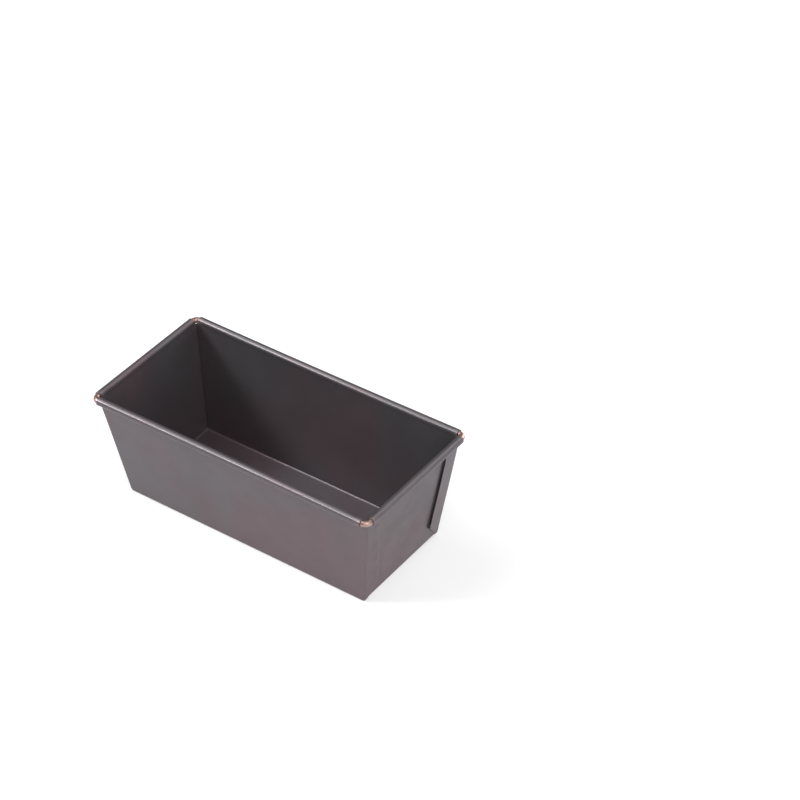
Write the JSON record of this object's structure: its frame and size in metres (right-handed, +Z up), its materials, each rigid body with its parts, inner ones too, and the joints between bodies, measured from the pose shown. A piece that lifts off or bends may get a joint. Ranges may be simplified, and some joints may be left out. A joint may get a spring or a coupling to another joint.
{
  "type": "rusk loaf pan",
  "caption": "Tapered rusk loaf pan folded from dark coated steel sheet, with corner flaps and a rim rolled round a copper-coloured wire.",
  "frame": {"origin": "middle of the underside, at the centre of the floor", "axes": "+X along the pan's length, +Y across it, +Z up out of its open top"},
  "size_m": [0.2142, 0.1052, 0.0796],
  "materials": {
    "nonstick_sheet": "dark non-stick coating on steel, satin, faintly mottled",
    "rim_wire": "bright copper-coloured drawn wire"
  },
  "bodies": {
    "root": {"pan_body": "nonstick_sheet", "rim_wire": "rim_wire"}
  },
  "joints": []
}
